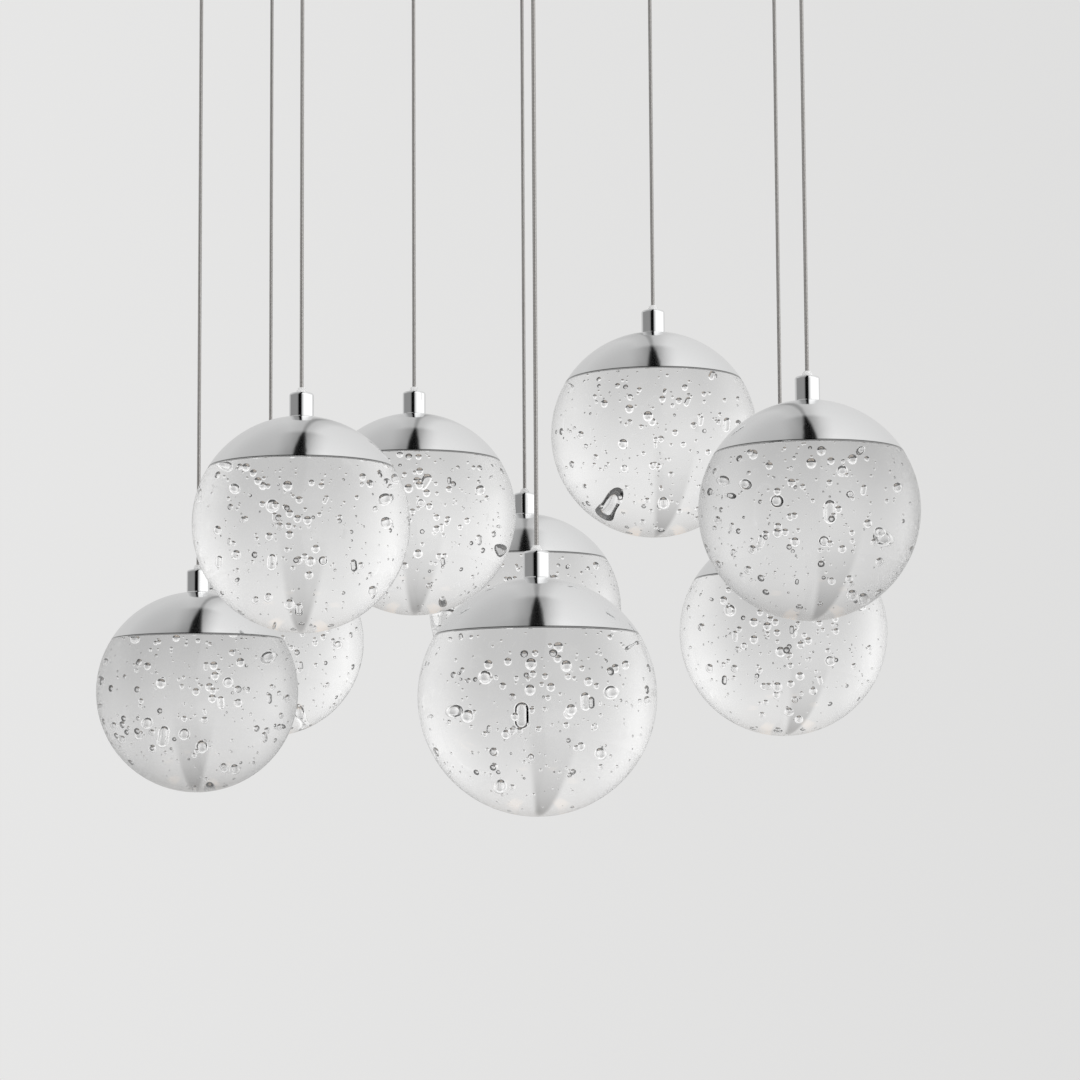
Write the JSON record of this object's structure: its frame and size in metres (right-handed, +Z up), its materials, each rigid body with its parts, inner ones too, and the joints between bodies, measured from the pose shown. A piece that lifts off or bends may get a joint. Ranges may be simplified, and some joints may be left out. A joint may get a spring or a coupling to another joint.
{
  "type": "cluster pendant",
  "caption": "Round chrome ceiling canopy from which clear bubble-glass balls hang at staggered heights on thin cords, each under a chrome dome cap with a slim collar.",
  "frame": {"origin": "middle of the ceiling bracket's two slots, on the ceiling plane; everything hangs below it", "axes": "+Z up into the ceiling, +X along the bracket, +Y to the back of the cluster as pictured"},
  "size_m": [0.4608, 0.4659, 0.5457],
  "materials": {
    "canopy_chrome": "polished chrome plate on spun steel",
    "cap_chrome": "mirror-polished chrome plate",
    "collar_chrome": "mirror-polished chrome plate on turned brass",
    "zinc_steel": "zinc-plated pressed steel",
    "ball_glass": "clear polished solid glass with air bubbles cast in it",
    "bush_clear": "translucent moulded plastic",
    "engine_aluminium": "die-cast, as cast",
    "cord_jacket": "fine steel braid under a clear smooth jacket",
    "driver_case": "moulded white case",
    "loom_plastic": "white moulded hub and block, white sheathed leads"
  },
  "bodies": {
    "canopy": {"canopy_pan": "canopy_chrome", "ceiling_bracket": "zinc_steel", "cap_nuts": "cap_chrome", "cord_grips": "collar_chrome", "led_driver": "driver_case", "wiring_loom": "loom_plastic"},
    "pendant_1": {"ball_1": "ball_glass", "cap_1": "cap_chrome", "collar_1": "collar_chrome", "bush_1": "bush_clear", "light_engine_1": "engine_aluminium", "cord_1": "cord_jacket"},
    "pendant_2": {"ball_2": "ball_glass", "cap_2": "cap_chrome", "collar_2": "collar_chrome", "bush_2": "bush_clear", "light_engine_2": "engine_aluminium", "cord_2": "cord_jacket"},
    "pendant_3": {"ball_3": "ball_glass", "cap_3": "cap_chrome", "collar_3": "collar_chrome", "bush_3": "bush_clear", "light_engine_3": "engine_aluminium", "cord_3": "cord_jacket"},
    "pendant_4": {"ball_4": "ball_glass", "cap_4": "cap_chrome", "collar_4": "collar_chrome", "bush_4": "bush_clear", "light_engine_4": "engine_aluminium", "cord_4": "cord_jacket"},
    "pendant_5": {"ball_5": "ball_glass", "cap_5": "cap_chrome", "collar_5": "collar_chrome", "bush_5": "bush_clear", "light_engine_5": "engine_aluminium", "cord_5": "cord_jacket"},
    "pendant_6": {"ball_6": "ball_glass", "cap_6": "cap_chrome", "collar_6": "collar_chrome", "bush_6": "bush_clear", "light_engine_6": "engine_aluminium", "cord_6": "cord_jacket"},
    "pendant_7": {"ball_7": "ball_glass", "cap_7": "cap_chrome", "collar_7": "collar_chrome", "bush_7": "bush_clear", "light_engine_7": "engine_aluminium", "cord_7": "cord_jacket"},
    "pendant_8": {"ball_8": "ball_glass", "cap_8": "cap_chrome", "collar_8": "collar_chrome", "bush_8": "bush_clear", "light_engine_8": "engine_aluminium", "cord_8": "cord_jacket"},
    "pendant_9": {"ball_9": "ball_glass", "cap_9": "cap_chrome", "collar_9": "collar_chrome", "bush_9": "bush_clear", "light_engine_9": "engine_aluminium", "cord_9": "cord_jacket"}
  },
  "joints": [
    {"name": "swing_1", "type": "hinge", "parent": "canopy", "child": "pendant_1", "pos_m": [-0.159, 0.03922, -0.048], "axis": [0.2588, 0.9659, 0], "range_deg": [-7, 15]},
    {"name": "swing_2", "type": "hinge", "parent": "canopy", "child": "pendant_2", "pos_m": [-0.1325, 0.13674, -0.048], "axis": [0.2588, 0.9659, 0], "range_deg": [-5, 15]},
    {"name": "swing_3", "type": "hinge", "parent": "canopy", "child": "pendant_3", "pos_m": [-0.09752, -0.07632, -0.048], "axis": [0.5, 0.866, 0], "range_deg": [-10, 15]},
    {"name": "swing_4", "type": "hinge", "parent": "canopy", "child": "pendant_4", "pos_m": [-0.04982, 0.01802, -0.048], "axis": [0.7071, 0.7071, 0], "range_deg": [-5, 10]},
    {"name": "swing_5", "type": "hinge", "parent": "canopy", "child": "pendant_5", "pos_m": [0.00424, 0.1007, -0.048], "axis": [0.9659, 0.2588, 0], "range_deg": [-1, 15]},
    {"name": "swing_6", "type": "hinge", "parent": "canopy", "child": "pendant_6", "pos_m": [0.0106, -0.1855, -0.048], "axis": [0.2588, 0.9659, 0], "range_deg": [-10, 15]},
    {"name": "swing_7", "type": "hinge", "parent": "canopy", "child": "pendant_7", "pos_m": [0.06784, -0.00848, -0.048], "axis": [-0.9659, 0.2588, 0], "range_deg": [-10, 15]},
    {"name": "swing_8", "type": "hinge", "parent": "canopy", "child": "pendant_8", "pos_m": [0.13356, -0.1007, -0.048], "axis": [0, -1, 0], "range_deg": [-10, 15]},
    {"name": "swing_9", "type": "hinge", "parent": "canopy", "child": "pendant_9", "pos_m": [0.12932, -0.00636, -0.048], "axis": [0.5, -0.866, 0], "range_deg": [-1, 15]}
  ]
}
